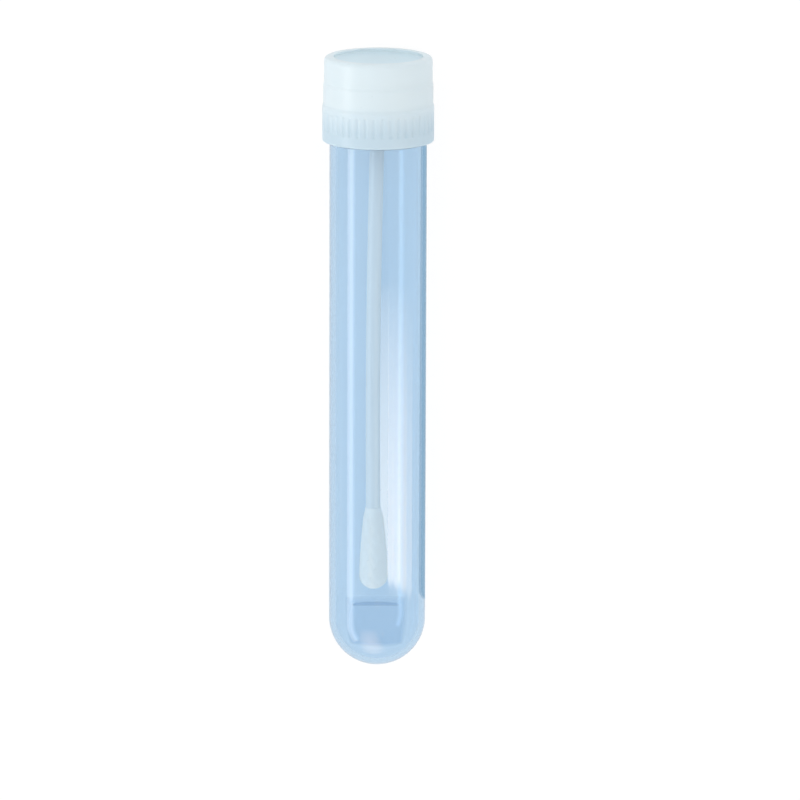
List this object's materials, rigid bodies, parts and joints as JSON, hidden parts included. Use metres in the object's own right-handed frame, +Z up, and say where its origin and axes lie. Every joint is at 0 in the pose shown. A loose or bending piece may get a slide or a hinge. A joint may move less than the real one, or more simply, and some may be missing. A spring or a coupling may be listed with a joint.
{
  "type": "specimen swab tube",
  "caption": "Round-bottom clear plastic tube with a ribbed screw cap that carries a fibre-tipped swab down its middle, for taking and keeping a specimen",
  "frame": {"origin": "on the surface that the tube lies on, under the middle of its overall box", "axes": "+Y along the tube from its round end to its cap, +X across it, +Z up. The tube's own axis rises towards the cap by 0.84 degrees, because the cap is wider than the tube"},
  "size_m": [0.0184, 0.1028, 0.0184],
  "materials": {
    "tube_plastic": "clear, blue-tinted, polished",
    "cap_plastic": "translucent natural white, satin",
    "shaft_plastic": "smooth white",
    "tip_fibre": "wound white fibre"
  },
  "bodies": {
    "tube": {"tube": "tube_plastic"},
    "swab": {"swab_shaft": "shaft_plastic", "swab_tip": "tip_fibre"},
    "cap": {"screw_cap": "cap_plastic"}
  },
  "joints": [
    {"name": "cap_rise", "type": "slide", "parent": "tube", "child": "swab", "axis": [0, 0.9999, 0.0146], "range_m": [0, 0.00588]},
    {"name": "cap_turn", "type": "hinge", "parent": "swab", "child": "cap", "pos_m": [0, 0.03724, 0.00918], "axis": [0, 0.9999, 0.0146], "range_deg": [0, 705.5]}
  ],
  "couplings": [
    {"joint": "cap_turn", "follows": "cap_rise", "rad_per_m": 2094.4}
  ]
}
